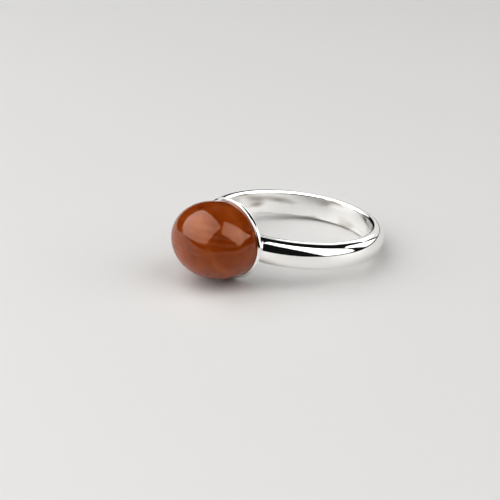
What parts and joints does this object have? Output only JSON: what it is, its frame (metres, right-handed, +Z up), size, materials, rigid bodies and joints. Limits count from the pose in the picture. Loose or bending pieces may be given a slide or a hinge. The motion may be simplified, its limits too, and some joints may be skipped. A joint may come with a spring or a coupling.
{
  "type": "moonstone ring",
  "caption": "Finger ring lying on its side: a plain half-round band with a shallow oval bezel cup that holds a high-domed translucent oval cabochon.",
  "frame": {"origin": "on the surface that the ring rests on, under the centre of its bounding box", "axes": "+Z up from the resting surface, -Y the way that the head and its stone point, +X across the finger hole"},
  "size_m": [0.02, 0.025, 0.0085],
  "materials": {
    "silver": "polished",
    "moonstone": "polished, translucent"
  },
  "bodies": {
    "root": {"band_and_bezel": "silver", "moonstone": "moonstone"}
  },
  "joints": []
}
